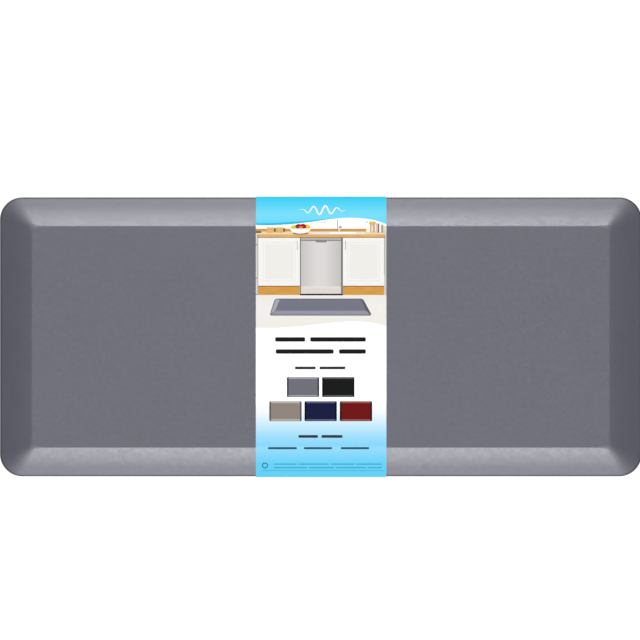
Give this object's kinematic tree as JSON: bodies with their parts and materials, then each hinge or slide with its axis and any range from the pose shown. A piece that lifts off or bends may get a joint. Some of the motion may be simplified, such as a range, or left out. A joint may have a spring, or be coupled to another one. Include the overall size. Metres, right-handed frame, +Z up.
{
  "type": "anti fatigue mat",
  "caption": "Cushioned rectangular standing mat with bevelled borders and a ribbed non-slip underside, held in a slide-off paperboard packaging sleeve.",
  "frame": {"origin": "centre of the mat in plan, at the underside of the sleeve, which is what the packed mat lies on", "axes": "+X along the mat, +Y across it towards the top of the sleeve's print, +Z up out of the standing surface"},
  "size_m": [1.0062, 0.4396, 0.0209],
  "materials": {
    "skin": "satin",
    "foam": "matte",
    "base": "matte",
    "card": "satin",
    "tape": "satin"
  },
  "bodies": {
    "mat": {"top_skin": "skin", "foam_core": "foam", "grip_base": "base"},
    "sleeve": {"sleeve_card": "card", "sleeve_glue_tape": "tape"}
  },
  "joints": [
    {"name": "sleeve_slide", "type": "slide", "parent": "mat", "child": "sleeve", "axis": [1, 0, 0], "range_m": [-0.61, 0.61]}
  ]
}
